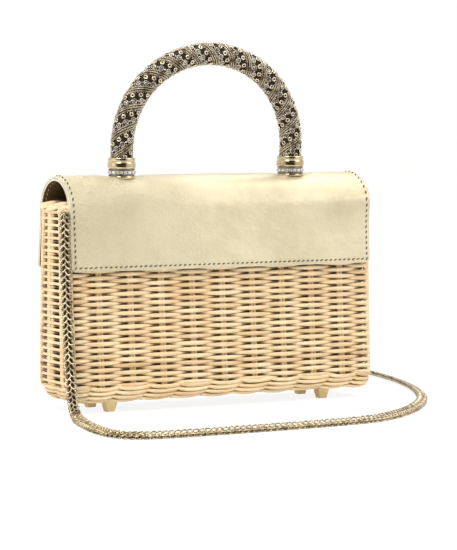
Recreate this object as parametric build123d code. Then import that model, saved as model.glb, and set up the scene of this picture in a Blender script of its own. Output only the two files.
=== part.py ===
from build123d import *
import os
from math import cos, hypot, pi, radians, sin, sqrt, tan

# Basket box bag: a tapered woven box on four small feet, closed by a stiff leather saddle flap that
# arches over the rim. The flap carries a rigid wrapped arch handle. A chain strap hangs at both ends.
# Millimetres. +X runs along the front, +Y goes back, +Z goes up. Origin: middle of the footprint, on the
# plane of the four feet.

# Basket
basket_width = 244.5
base_half_depth = 29.3
base_level = 10.0
draft_deg = 3.8
wall_thickness = 6.2
wall_top_z = 141.0
base_corner_radius = 7.0
top_corner_radius = 2.5
inner_corner_radius = 2.0

# Rolled borders and floor
border_low_z = 7.0
border_high_z = 20.0
border_proud = 0.8
border_edge_radius = 4.5
rim_height = 5.2
rim_inset = 0.8
rim_corner_radius = 4.0
rim_outer_round = 0.45
rim_inner_round = 0.3
floor_thickness = 6.0
board_thickness = 3.0
board_gap = 0.4

# Lining
lining_thickness = 0.8
lining_gap = 0.3

# Feet and their screws
foot_height = 9.0
foot_top = 10.0
foot_bottom = 6.0
foot_edge_radius = 0.8
foot_end_inset = 35.85
foot_side_inset = 14.3
foot_screw_radius = 1.5
foot_screw_bite = 5.0
foot_screw_head_radius = 2.8
foot_screw_head_height = 1.6
screw_clearance = 0.2

# Flap: outer leather, fibreboard, inner leather. Drops count down from the top of the walls.
flap_end_inset = 1.75
flap_clearance = 0.6
inner_leather = 1.2
flap_board = 1.0
outer_leather = 1.2
arch_centre_drop = 1.4
flap_low_drop = 42.7
hinge_drop = 3.4
hinge_gap = 0.6
panel_corner_radius = 3.0

# Magnetic catch
magnet_drop = 29.0
magnet_radius = 7.0
flap_magnet_thickness = 2.0
wall_magnet_thickness = 1.6
magnet_fit = 0.1

# Handle
handle_leg_x = 68.6
handle_spring_rise = 43.0
handle_rise = 65.4
handle_side_radius = 64.0
handle_core_radius = 5.5
handle_wrap_radius = 8.1
wrap_fit = 0.1

# Ferrules, with their crystal bands
ferrule_seat_drop = 2.6
ferrule_seat_gap = 0.3
ferrule_base_radius = 9.5
ferrule_base_height = 1.8
crystal_band_height = 5.0
ferrule_neck_radius = 7.6
setting_radius = 8.7
setting_lip_radius = 9.4
setting_lip_height = 0.7
crystal_count = 20
crystal_height = 3.2
crystal_table_height = 1.5
crystal_girdle_depth = 0.7
crystal_set_depth = 0.5
ferrule_bulge_radius = 9.9
ferrule_bulge_neck_radius = 8.9
ferrule_bulge_height = 5.0
ferrule_ring_radius = 9.6
ferrule_ring_height = 2.8
ferrule_edge_radius = 0.5

# Handle screws and the curved plates they pull on
handle_screw_radius = 2.5
handle_screw_depth = 14.0
thread_fit = 0.05
handle_screw_head_radius = 4.0
handle_screw_head_height = 2.6
backing_plate_length = 26.0
backing_plate_half_depth = 7.0
backing_plate_thickness = 1.2
backing_plate_fit = 0.1

# Strap staples and chain
staple_wire_radius = 1.0
staple_half_span = 2.6
staple_stand_off = 4.2
staple_depth = 4.5
staple_bend_radius = 1.4
staple_drop = 5.0
staple_fit = 0.05
chain_diameter = 4.4
chain_hang_gap = 0.45
chain_hang_inset = 1.0

# Corners that carry a staple, as (side, depth): left front and right back
staple_corners = [(-1, -1), (1, 1)]

# Route of the chain between its two staples, from the left end round the front to the right end. Each
# point gives the place its x counts from (-1 left end of the basket, 0 middle, 1 right end), then x, y, z.
chain_route = [
    (-1, -2.2, -25.5, 84.0),
    (-1, -2.9, -31.5, 42.0),
    (-1, -4.6, -39.5, 11.0),
    (-1, -8.3, -53.0, 2.3),
    (-1, -17.3, -79.0, 2.3),
    (-1, -25.75, -116.0, 2.3),
    (-1, -28.25, -149.0, 2.3),
    (-1, -13.75, -163.5, 2.3),
    (0, -106.0, -165.2, 2.3),
    (0, -50.0, -165.6, 2.3),
    (0, 5.0, -163.6, 2.3),
    (0, 43.0, -159.6, 2.3),
    (0, 78.0, -138.5, 2.3),
    (0, 112.0, -106.0, 2.3),
    (1, 18.75, -67.0, 2.3),
    (1, 43.75, -19.0, 2.3),
    (1, 63.75, 33.0, 2.3),
    (1, 77.25, 88.0, 2.3),
    (1, 80.75, 122.0, 2.3),
    (1, 68.75, 146.0, 2.3),
    (1, 43.75, 150.0, 2.3),
    (1, 24.75, 130.0, 2.3),
    (1, 15.0, 96.0, 2.3),
    (1, 9.5, 66.0, 2.3),
    (1, 6.2, 44.0, 4.2),
    (1, 4.2, 32.0, 18.0),
    (1, 2.9, 27.0, 46.0),
    (1, 2.2, 23.8, 88.0),
]
chain_arc_share = 0.45

# Values that follow from the sizes above
draft = radians(draft_deg)
floor_low_z = foot_height
floor_high_z = floor_low_z + floor_thickness
board_high_z = floor_high_z + board_thickness
flap_thickness = inner_leather + flap_board + outer_leather
flap_width = basket_width - 2 * flap_end_inset
arch_centre_z = wall_top_z - arch_centre_drop
flap_low_z = wall_top_z - flap_low_drop
hinge_z = wall_top_z - hinge_drop
magnet_z = wall_top_z - magnet_drop
staple_z = wall_top_z - staple_drop
foot_x = basket_width / 2 - foot_end_inset
foot_y = base_half_depth - foot_side_inset
handle_spring_z = wall_top_z + handle_spring_rise


def half_depth(z):
    """Half the basket's outside depth at height z."""
    return base_half_depth - (z - base_level) * tan(draft)


def corner_radius(z):
    """Outside corner radius at height z, tighter towards the top."""
    share = (z - base_level) / (wall_top_z - base_level)
    return base_corner_radius + share * (top_corner_radius - base_corner_radius)


arch_inner_radius = (half_depth(arch_centre_z) + flap_clearance) * cos(draft)
arch_outer_radius = arch_inner_radius + flap_thickness
arch_apex_z = arch_centre_z + arch_outer_radius
ferrule_base_z = arch_apex_z - ferrule_seat_drop
ferrule_height = ferrule_base_height + crystal_band_height + ferrule_bulge_height + ferrule_ring_height
ferrule_top_z = ferrule_base_z + ferrule_height

os.makedirs("parts", exist_ok=True)


def save(shape, name):
    """Write one sub-part to its own file."""
    export_step(shape, f"parts/{name}.step")


def turned(outline, x=0.0, z=0.0):
    """Revolve a closed outline of (radius, height) points about an upright axis at x, raised by z."""
    face = make_face(Plane.XZ * Polyline(outline, close=True))
    return Pos(x, 0, z) * revolve(face, Axis.Z)


def upright_cylinder(radius, x, y, low, high):
    """Cylinder between two heights."""
    return Pos(x, y, (low + high) / 2) * Cylinder(radius, high - low)


# Basket


def tapered_block(inset, low, high, proud=0.0):
    """Solid of the basket's tapered outline, moved in by inset or out by proud."""
    sections = []
    for z in (low, high):
        radius = max(corner_radius(z) - inset, inner_corner_radius)
        across = basket_width + 2 * (proud - inset)
        deep = 2 * (half_depth(z) + proud - inset)
        sections.append(Plane.XY.offset(z) * RectangleRounded(across, deep, radius))
    return loft(sections, ruled=True)


def woven_walls():
    """Four walls, open above and below, with the catch recess and the staple holes."""
    walls = tapered_block(0, border_high_z, wall_top_z)
    walls -= tapered_block(wall_thickness, border_high_z - 1, wall_top_z + 1)
    walls -= wall_magnet(magnet_fit)
    for side, depth in staple_corners:
        for z in (staple_z - staple_half_span, staple_z + staple_half_span):
            start = corner_point(side, depth, -staple_depth, z)
            drill = Plane(origin=start, z_dir=(side, depth, 0)) * Circle(staple_wire_radius + staple_fit)
            walls -= extrude(drill, staple_depth + staple_stand_off)
    return walls


def woven_floor():
    """Woven floor inside the foot border, drilled for the four feet."""
    floor = tapered_block(wall_thickness, floor_low_z, floor_high_z)
    for x, y in foot_places():
        floor -= upright_cylinder(foot_screw_radius + screw_clearance, x, y, floor_low_z - 1, floor_high_z + 1)
    return floor


def foot_border():
    """Rolled border that the walls stand on, rounded under at its outer edge."""
    block = tapered_block(0, border_low_z, border_high_z, border_proud)
    lowest = block.faces().sort_by(Axis.Z)[0]
    block = fillet(lowest.edges(), border_edge_radius)
    return block - tapered_block(wall_thickness, border_low_z - 1, border_high_z + 1)


def rim_border():
    """Rolled border on top of the walls, over the lining's upper edge."""
    outer_half = half_depth(wall_top_z) - rim_inset
    inner_half = half_depth(wall_top_z) - wall_thickness - lining_gap - lining_thickness
    width = outer_half - inner_half
    across = basket_width - 2 * rim_inset
    ring = RectangleRounded(across, 2 * outer_half, rim_corner_radius)
    ring -= RectangleRounded(across - 2 * width, 2 * inner_half, inner_corner_radius)
    solid = extrude(Plane.XY.offset(wall_top_z) * ring, rim_height)
    top = solid.faces().sort_by(Axis.Z)[-1]
    solid = fillet(top.outer_wire().edges(), rim_outer_round * width)
    top = solid.faces().sort_by(Axis.Z)[-1]
    return fillet(top.inner_wires()[0].edges(), rim_inner_round * width)


def base_board():
    """Stiff board on the woven floor, counterbored for the screw heads."""
    inset = wall_thickness + board_gap
    board = tapered_block(inset, floor_high_z, board_high_z)
    sink = foot_screw_head_height
    for x, y in foot_places():
        board -= upright_cylinder(foot_screw_radius + screw_clearance, x, y, floor_high_z - 1, board_high_z + 1)
        board -= upright_cylinder(
            foot_screw_head_radius + screw_clearance, x, y, board_high_z - sink, board_high_z + 1
        )
    return board


def lining():
    """Fabric lining: a thin open bag that stands on the board and ends under the rim."""
    outside = wall_thickness + lining_gap
    bag = tapered_block(outside, board_high_z, wall_top_z)
    inside = tapered_block(outside + lining_thickness, board_high_z + lining_thickness, wall_top_z + 1)
    return bag - inside


# Feet


def foot_places():
    """Centres of the four feet."""
    return [(x, y) for x in (-foot_x, foot_x) for y in (-foot_y, foot_y)]


def foot(x, y):
    """Square foot, narrower below, with a blind hole for its screw."""
    sections = [
        RectangleRounded(foot_bottom, foot_bottom, foot_edge_radius),
        Plane.XY.offset(foot_height) * RectangleRounded(foot_top, foot_top, foot_edge_radius),
    ]
    body = Pos(x, y, 0) * loft(sections, ruled=True)
    hole_low = foot_height - foot_screw_bite - screw_clearance
    return body - upright_cylinder(foot_screw_radius + thread_fit, x, y, hole_low, foot_height + 1)


def foot_screw(x, y):
    """Screw from the board down into a foot."""
    head_low = board_high_z - foot_screw_head_height
    shank = upright_cylinder(foot_screw_radius, x, y, foot_height - foot_screw_bite, head_low)
    return shank + upright_cylinder(foot_screw_head_radius, x, y, head_low, board_high_z)


# Flap


def panel_point(radius, side, z):
    """Point (y, z) at height z on the straight panel that runs on from an arch of that radius."""
    tangent_z = arch_centre_z + radius * sin(draft)
    return (side * (radius * cos(draft) + (tangent_z - z) * tan(draft)), z)


def arch_curve(radius, front_z, back_z):
    """Front panel, arch and start of the back, as one line in the YZ plane."""
    tangent_y = radius * cos(draft)
    tangent_z = arch_centre_z + radius * sin(draft)
    front = Line(panel_point(radius, -1, front_z), (-tangent_y, tangent_z))
    arch = ThreePointArc((-tangent_y, tangent_z), (0, arch_centre_z + radius), (tangent_y, tangent_z))
    back = Line((tangent_y, tangent_z), panel_point(radius, 1, back_z))
    return front + arch + back


def round_panel_corners(solid, side, z, y_sign):
    """Round the two free lower corners of a panel."""
    edges = solid.edges().filter_by(Axis.X, reverse=True)
    picked = []
    for edge in edges:
        middle = edge.center()
        at_corner = abs(abs(middle.X) - side) < 0.01 and abs(middle.Z - z) < 0.5
        if at_corner and middle.Y * y_sign > 0:
            picked.append(edge)
    return fillet(picked, panel_corner_radius)


def flap_layer(low_offset, high_offset):
    """One layer of the flap, between two offsets from its inner face."""
    inner = arch_curve(arch_inner_radius + low_offset, flap_low_z, hinge_z + hinge_gap / 2)
    outer = arch_curve(arch_inner_radius + high_offset, flap_low_z, hinge_z + hinge_gap / 2)
    front_end = Line(inner @ 0, outer @ 0)
    back_end = Line(inner @ 1, outer @ 1)
    outline = Plane.YZ * (inner + outer + front_end + back_end)
    face = make_face(outline.edges())
    layer = extrude(face, flap_width / 2, both=True)
    layer = round_panel_corners(layer, flap_width / 2, flap_low_z, -1)
    for x in (-handle_leg_x, handle_leg_x):
        pocket = ferrule_base_radius + ferrule_seat_gap
        layer -= upright_cylinder(pocket, x, 0, ferrule_base_z, arch_apex_z + 1)
        layer -= upright_cylinder(handle_screw_radius + screw_clearance, x, 0, arch_centre_z, arch_apex_z)
    return layer


def back_layer(low_offset, high_offset):
    """One layer of the back panel, which stays on the basket below the fold."""
    top_z = hinge_z - hinge_gap / 2
    corners = [
        panel_point(arch_inner_radius + low_offset, 1, flap_low_z),
        panel_point(arch_inner_radius + high_offset, 1, flap_low_z),
        panel_point(arch_inner_radius + high_offset, 1, top_z),
        panel_point(arch_inner_radius + low_offset, 1, top_z),
    ]
    face = make_face(Plane.YZ * Polyline(corners, close=True))
    layer = extrude(face, flap_width / 2, both=True)
    return round_panel_corners(layer, flap_width / 2, flap_low_z, 1)


# Magnetic catch


def catch_plane(offset):
    """Plane on the front wall's slope, offset outward from the wall, facing the front."""
    origin = (0, -half_depth(magnet_z) - offset / cos(draft), magnet_z)
    return Plane(origin=origin, x_dir=(1, 0, 0), z_dir=(0, -cos(draft), sin(draft)))


def wall_magnet(grow=0.0):
    """Disc let into the front wall, flush with it."""
    disc = extrude(Circle(magnet_radius + grow), -wall_magnet_thickness)
    return catch_plane(0) * disc


def flap_magnet(grow=0.0):
    """Disc let into the flap's inner face, flush with it."""
    disc = extrude(Circle(magnet_radius + grow), flap_magnet_thickness)
    return catch_plane(flap_clearance * cos(draft)) * disc


# Handle


def handle_top_radius():
    """Radius of the top arc that joins two side arcs of the given radius smoothly."""
    offset = handle_leg_x - handle_side_radius
    height = handle_rise - handle_side_radius
    return (offset**2 + handle_rise**2 - handle_side_radius**2) / (2 * height)


def handle_path(start_z):
    """Centre line of the handle: straight legs, two side arcs and a top arc."""
    top_radius = handle_top_radius()
    side_centre_x = handle_leg_x - handle_side_radius
    top_centre_z = handle_spring_z + handle_rise - top_radius
    length = hypot(side_centre_x, handle_spring_z - top_centre_z)
    out_x = side_centre_x / length
    out_z = (handle_spring_z - top_centre_z) / length
    joint_x = side_centre_x + handle_side_radius * out_x
    joint_z = handle_spring_z + handle_side_radius * out_z
    middle = sqrt(0.5)
    side_x = side_centre_x + handle_side_radius * middle
    side_z = handle_spring_z + handle_side_radius * middle
    right = ThreePointArc((joint_x, 0, joint_z), (side_x, 0, side_z), (handle_leg_x, 0, handle_spring_z))
    left = ThreePointArc((-handle_leg_x, 0, handle_spring_z), (-side_x, 0, side_z), (-joint_x, 0, joint_z))
    crown = (0, 0, handle_spring_z + handle_rise)
    top = ThreePointArc((-joint_x, 0, joint_z), crown, (joint_x, 0, joint_z))
    left_leg = Line((-handle_leg_x, 0, start_z), (-handle_leg_x, 0, handle_spring_z))
    right_leg = Line((handle_leg_x, 0, handle_spring_z), (handle_leg_x, 0, start_z))
    return Wire([left_leg.edge(), left.edge(), top.edge(), right.edge(), right_leg.edge()])


def handle_tube(radius, start_z):
    """Round bar along the handle's centre line."""
    section = Plane(origin=(-handle_leg_x, 0, start_z), z_dir=(0, 0, 1)) * Circle(radius)
    return sweep(section, path=handle_path(start_z))


def handle_core():
    """Bent metal core, tapped at both ends."""
    core = handle_tube(handle_core_radius, ferrule_base_z)
    for x in (-handle_leg_x, handle_leg_x):
        top = ferrule_base_z + handle_screw_depth + screw_clearance
        core -= upright_cylinder(handle_screw_radius + thread_fit, x, 0, ferrule_base_z - 1, top)
    return core


def handle_wrap():
    """Sleeve of wound cords and bead rows over the core, between the ferrules."""
    sleeve = handle_tube(handle_wrap_radius, ferrule_top_z)
    return sleeve - handle_tube(handle_core_radius + wrap_fit, ferrule_top_z)


def ferrule(x):
    """Turned collar: foot ring, crystal seat, bulge and top ring."""
    seat_low = ferrule_base_height
    seat_high = seat_low + crystal_band_height
    bulge_high = seat_high + ferrule_bulge_height
    top = bulge_high + ferrule_ring_height
    bore = handle_core_radius + wrap_fit
    edge = ferrule_edge_radius
    outline = Polyline(
        (bore, 0),
        (ferrule_base_radius, 0),
        (ferrule_base_radius, seat_low),
        (ferrule_neck_radius, seat_low),
        (ferrule_neck_radius, seat_high),
        (ferrule_bulge_neck_radius, seat_high),
    )
    outline += ThreePointArc(
        (ferrule_bulge_neck_radius, seat_high),
        (ferrule_bulge_radius, (seat_high + bulge_high) / 2),
        (ferrule_bulge_neck_radius, bulge_high),
    )
    outline += Line((ferrule_bulge_neck_radius, bulge_high), (ferrule_ring_radius - edge, bulge_high))
    outline += ThreePointArc(
        (ferrule_ring_radius - edge, bulge_high),
        (ferrule_ring_radius, (bulge_high + top) / 2),
        (ferrule_ring_radius - edge, top),
    )
    outline += Polyline((ferrule_ring_radius - edge, top), (bore, top), (bore, 0))
    face = make_face((Plane.XZ * outline).edges())
    return Pos(x, 0, ferrule_base_z) * revolve(face, Axis.Z)


def crystal_setting(x):
    """Silver channel ring round the ferrule's seat, with a lip above and below the stones."""
    low = wrap_fit
    high = crystal_band_height - wrap_fit
    outline = [
        (ferrule_neck_radius + wrap_fit, low),
        (setting_lip_radius, low),
        (setting_lip_radius, low + setting_lip_height),
        (setting_radius, low + setting_lip_height),
        (setting_radius, high - setting_lip_height),
        (setting_lip_radius, high - setting_lip_height),
        (setting_lip_radius, high),
        (ferrule_neck_radius + wrap_fit, high),
    ]
    ring = turned(outline, x, ferrule_base_z + ferrule_base_height)
    for stone in crystals(x, wrap_fit / 2):
        ring -= stone
    return ring


def crystals(x, grow=0.0):
    """Stones set round a ferrule: square, with a girdle, a bevelled crown and a flat table."""
    stones = []
    z = ferrule_base_z + ferrule_base_height + crystal_band_height / 2
    inner = setting_radius - crystal_set_depth
    girdle = inner + crystal_girdle_depth + crystal_set_depth
    width = 2 * pi * inner / crystal_count - 2 * wrap_fit
    side = min(width, crystal_height)
    for index in range(crystal_count):
        angle = 360 * (index + 0.5) / crystal_count
        base = Plane.YZ.offset(inner) * Rectangle(side + grow, side + grow)
        lower = extrude(base, girdle - inner)
        crown_low = Plane.YZ.offset(girdle) * Rectangle(side + grow, side + grow)
        table = Plane.YZ.offset(girdle + crystal_girdle_depth) * Rectangle(
            crystal_table_height, crystal_table_height
        )
        stone = lower + loft([crown_low, table], ruled=True)
        stones.append(Pos(x, 0, z) * Rot(0, 0, angle) * stone)
    return stones


def backing_plate_radii():
    """Inner and outer radius of the curved plates, just inside the flap."""
    outer = arch_inner_radius - backing_plate_fit
    return (outer - backing_plate_thickness, outer)


def backing_plate(x):
    """Curved plate against the flap's inner face, under a ferrule."""
    inner_radius, outer_radius = backing_plate_radii()
    outer = Cylinder(outer_radius, backing_plate_length, rotation=(0, 90, 0))
    inner = Cylinder(inner_radius, backing_plate_length + 1, rotation=(0, 90, 0))
    ring = Pos(x, 0, arch_centre_z) * (outer - inner)
    size = 2 * arch_inner_radius
    window = Pos(x, 0, arch_centre_z + size / 2) * Box(backing_plate_length, 2 * backing_plate_half_depth, size)
    hole = upright_cylinder(handle_screw_radius + screw_clearance, x, 0, arch_centre_z, arch_apex_z)
    return (ring & window) - hole


def handle_screw(x):
    """Screw from inside the arch up into the handle's core."""
    seat_radius = backing_plate_radii()[0]
    seat_z = arch_centre_z + sqrt(seat_radius**2 - handle_screw_head_radius**2)
    shank = upright_cylinder(handle_screw_radius, x, 0, seat_z, ferrule_base_z + handle_screw_depth)
    head = upright_cylinder(handle_screw_head_radius, x, 0, seat_z - handle_screw_head_height, seat_z)
    return shank + head


# Strap


def corner_point(side, depth, reach, z):
    """Point on a corner's diagonal at height z, outside its surface by reach at the staples' height."""
    radius = corner_radius(staple_z)
    slant = (radius + reach) / sqrt(2)
    x = side * (basket_width / 2 - radius + slant)
    y = depth * (half_depth(staple_z) - radius + slant)
    return (x, y, z)


def staple(side, depth):
    """Wire staple driven into a corner, one leg above the other, with room for the chain round its bar."""
    high = staple_z + staple_half_span
    low = staple_z - staple_half_span
    points = [
        corner_point(side, depth, -staple_depth, high),
        corner_point(side, depth, staple_stand_off, high),
        corner_point(side, depth, staple_stand_off, low),
        corner_point(side, depth, -staple_depth, low),
    ]
    path = FilletPolyline(points, radius=staple_bend_radius)
    section = Plane(origin=points[0], z_dir=(side, depth, 0)) * Circle(staple_wire_radius)
    return sweep(section, path=path)


def chain_points():
    """Points of the chain's centre line, with both ends close under the staples' lower legs."""
    end_z = staple_z - staple_half_span - staple_wire_radius - chain_hang_gap
    reach = staple_stand_off - chain_hang_inset
    first, last = [corner_point(side, depth, reach, end_z) for side, depth in staple_corners]
    middle = [(place * basket_width / 2 + x, y, z) for place, x, y, z in chain_route]
    return [first, *middle, last]


def chain_radii():
    """Bend radius at each inner point of the route, as large as its two runs allow."""
    points = [Vector(*point) for point in chain_points()]
    radii = []
    for before, here, after in zip(points, points[1:], points[2:]):
        turn = radians((here - before).get_angle(after - here))
        shorter = min((here - before).length, (after - here).length)
        radii.append(chain_arc_share * shorter / tan(turn / 2))
    return radii


def chain_strap():
    """Chain as a plain round body along its whole route."""
    path = FilletPolyline(chain_points(), radius=chain_radii())
    section = Plane(origin=path @ 0, z_dir=path % 0) * Circle(chain_diameter / 2)
    strap = sweep(section, path=path)
    area = pi * chain_diameter**2 / 4
    print("chain length", round(path.length, 1), "volume ratio", round(strap.volume / area / path.length, 4))
    print("chain bend radii", [round(radius, 1) for radius in chain_radii()])
    return strap


# Sub-parts

save(woven_walls(), "woven_walls")
save(woven_floor(), "woven_floor")
save(foot_border(), "foot_border")
save(rim_border(), "rim_border")
save(base_board(), "base_board")
save(lining(), "lining")

for x, y in foot_places():
    depth_word = "front" if y < 0 else "back"
    side_word = "left" if x < 0 else "right"
    save(foot(x, y), f"foot_{depth_word}_{side_word}")
save(Compound([foot_screw(x, y).solid() for x, y in foot_places()]), "foot_screws")

board_offset = inner_leather
outer_offset = inner_leather + flap_board
flap_inner = flap_layer(0, board_offset) - flap_magnet(magnet_fit)
flap_middle = flap_layer(board_offset, outer_offset) - flap_magnet(magnet_fit)
save(flap_inner, "flap_inner_leather")
save(flap_middle, "flap_board")
save(flap_layer(outer_offset, flap_thickness), "flap_outer_leather")
save(back_layer(0, board_offset), "back_inner_leather")
save(back_layer(board_offset, outer_offset), "back_board")
save(back_layer(outer_offset, flap_thickness), "back_outer_leather")
save(flap_magnet(), "flap_magnet")
save(wall_magnet(), "wall_magnet")

save(handle_core(), "handle_core")
save(handle_wrap(), "handle_wrap")
for side, side_word in ((-1, "left"), (1, "right")):
    x = side * handle_leg_x
    save(ferrule(x), f"ferrule_{side_word}")
    save(crystal_setting(x), f"crystal_setting_{side_word}")
    save(Compound([stone.solid() for stone in crystals(x)]), f"crystals_{side_word}")
    save(backing_plate(x), f"backing_plate_{side_word}")
handle_screws = [handle_screw(x).solid() for x in (-handle_leg_x, handle_leg_x)]
save(Compound(handle_screws), "handle_screws")

for side, depth in staple_corners:
    side_word = "left" if side < 0 else "right"
    save(staple(side, depth), f"strap_staple_{side_word}")
save(chain_strap(), "chain_strap")
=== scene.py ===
import math
import random

import bpy
import numpy as np
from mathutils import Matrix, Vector, noise


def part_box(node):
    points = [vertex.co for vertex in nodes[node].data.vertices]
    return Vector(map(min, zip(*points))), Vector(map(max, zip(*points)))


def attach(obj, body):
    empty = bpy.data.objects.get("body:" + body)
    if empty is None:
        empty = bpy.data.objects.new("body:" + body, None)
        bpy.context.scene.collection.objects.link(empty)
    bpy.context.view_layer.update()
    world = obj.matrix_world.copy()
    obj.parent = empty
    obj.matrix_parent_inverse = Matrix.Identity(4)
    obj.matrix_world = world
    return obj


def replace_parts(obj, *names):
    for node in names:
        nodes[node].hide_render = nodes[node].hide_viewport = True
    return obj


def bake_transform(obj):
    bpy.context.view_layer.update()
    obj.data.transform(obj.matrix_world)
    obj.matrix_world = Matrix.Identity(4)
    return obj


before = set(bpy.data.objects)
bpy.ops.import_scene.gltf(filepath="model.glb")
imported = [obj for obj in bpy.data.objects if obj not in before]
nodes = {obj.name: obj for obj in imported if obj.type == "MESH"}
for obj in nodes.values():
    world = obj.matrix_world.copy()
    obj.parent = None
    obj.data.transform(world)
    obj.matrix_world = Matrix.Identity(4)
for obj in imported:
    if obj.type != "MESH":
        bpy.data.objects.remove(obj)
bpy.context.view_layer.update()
random.seed(7)

# Metres. The basket's outline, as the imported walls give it
border_low, border_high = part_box("foot_border")
rim_low, rim_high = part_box("rim_border")
flap_low, flap_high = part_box("flap_outer_leather")
HALF_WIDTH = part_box("woven_walls")[1].x
FLOOR_LOW_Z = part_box("woven_floor")[0].z
DRAFT = math.radians(3.8)
BASE_LEVEL = 0.010
BASE_HALF_DEPTH = 0.0293
BASE_CORNER_RADIUS = 0.0070
TOP_CORNER_RADIUS = 0.0025
WALL_TOP_Z = 0.141

# Weave
ROW_PITCH = 0.00227
STAKE_PITCH = 0.0244
FRONT_STAKES = 4
STAKE_RADIUS = 0.0013
STAKE_DEPTH = 0.0031
WEAVE_AMPLITUDE = 0.0020
WEAVER_HALF_THICKNESS = 0.00105
WEAVER_HALF_HEIGHT = 0.0012
WEAVER_SWELL = 0.00035
WEAVER_PINCH = 0.0004
SIDE_STAKE_RADIUS = 0.00115
SIDE_STAKE_DEPTH = 0.0016
# Places on an end wall, as shares of half its depth: stakes, and where rows sink in or come out again
SIDE_PLACES = [
    (-0.523, "side"), (-0.12, "sink"), (0.20, "turn"),
    (0.437, "side"), (0.72, "sink"), (0.80, "rise"),
]
POST_RADIUS = 0.0021
POST_DEPTH = 0.0022

# Kinds of stake: name, depth of its axis in the wall, radius, canes side by side, tone
STAKE_KINDS = [
    ("pair", STAKE_DEPTH, STAKE_RADIUS, 2, 0.45),
    ("side", SIDE_STAKE_DEPTH, SIDE_STAKE_RADIUS, 2, 0.85),
    ("post", POST_DEPTH, POST_RADIUS, 1, 0.85),
]

# How the basket has settled
TUCK_TOP_Z = 0.024
TUCK_REACH = 0.018
TUCK = 0.0095
TUCK_FROM_X = 0.090
CORNER_FULLNESS = 0.0015
FULL_FROM_X = 0.108

# Foot border strands, from the top: height of the middle, half height, how far they are tucked in
BORDER_LEVELS = [
    (0.0172, 0.00145, 0.0014),
    (0.0142, 0.00135, 0.0013),
    (0.0115, 0.00130, 0.0019),
    (0.0092, 0.00125, 0.0040),
]
BORDER_CORNER = 0.0040
BORDER_LEAN = 0.0027
BORDER_LEFT_RISE = 0.0010
BORDER_RIGHT_RISE = 0.0019
BORDER_HALF_DEPTH = 0.00155

# Rim
RIM_STRAND_PITCH = 0.0190
RIM_STRAND_LENGTH = 0.0300
RIM_STRAND_HALF_HEIGHT = 0.0023
RIM_STRAND_HALF_DEPTH = 0.0019
RIM_STRAND_RISE = 0.0064

# Woven floor
FLOOR_AXIS_RISE = 0.0022
FLOOR_RODS = 9
FLOOR_ROD_RADIUS = 0.0012
FLOOR_WEAVER_RADIUS = 0.00115
FLOOR_WEAVER_PITCH = 0.0026
FLOOR_WAVE = 0.0011

# Leather saddle
ARCH_CENTRE_Z = 0.1396
ARCH_INNER_RADIUS = 0.02124
LEATHER_THICKNESS = 0.0034
FLAP_HALF_WIDTH = flap_high.x
PANEL_LOW_Z = flap_low.z
PANEL_CORNER = 0.0040
STITCH_PITCH = 0.00387
STITCH_INSET = 0.0028
STITCH_REACH = 0.00085
STITCH_SLANT = 0.00030
EDGE_SOFT = 0.0006
FERRULE_DIP = 0.0021
FERRULE_REACH = 0.021
BACK_FLARE = 0.0020
FLARE_TOP_Z = 0.140
RIGHT_SWELL = 0.0030
SWELL_Z = 0.147
SWELL_REACH = 0.014

# Handle
LEG_X = 0.0686
SPRING_Z = 0.184
HANDLE_RISE = 0.0654
SIDE_RADIUS = 0.064
WRAP_START_Z = 0.1762
WRAP_LEAD = 0.030
WRAP_STARTS = 2
STRAND_HELIX_RADIUS = 0.0075
HANDLE_LEAN = 0.066
CORE_RADIUS = 0.0055
SLEEVE_RADIUS = 0.0069
STRAND_STEP = 0.00188
STRAND_PLY_RADIUS = 0.00036
STRAND_PLY_PITCH = 0.0024
CUP_OFFSET = 0.0050
RING_OFFSET = 0.0098
BEAD_STEP = 0.0056
GRAIN_OFFSETS = (0.0031, 0.0119)
GRAIN_STEP = 0.0019
GRAIN_HELIX_RADIUS = 0.0073
GRAIN_RADIUS = 0.00052

# Ferrule outline in millimetres above the crystal band: radius and height
FERRULE_BANDS = [
    (7.6, 0.00), (9.0, 0.00), (9.55, 0.22), (9.82, 0.60), (9.88, 0.95), (9.895, 1.40), (9.90, 2.50),
    (9.895, 3.60), (9.88, 4.05), (9.82, 4.40), (9.55, 4.78), (8.8, 5.00), (9.3, 5.12), (9.54, 5.38),
    (9.59, 5.70), (9.60, 6.40), (9.59, 7.10), (9.54, 7.42), (9.3, 7.68), (8.8, 7.80), (6.6, 7.80),
]
FERRULE_FOOT = [(7.6, 0.0), (9.3, 0.0), (9.5, 0.25), (9.5, 1.5), (9.3, 1.8), (7.6, 1.8)]
FERRULE_SIDES = 96

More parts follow.
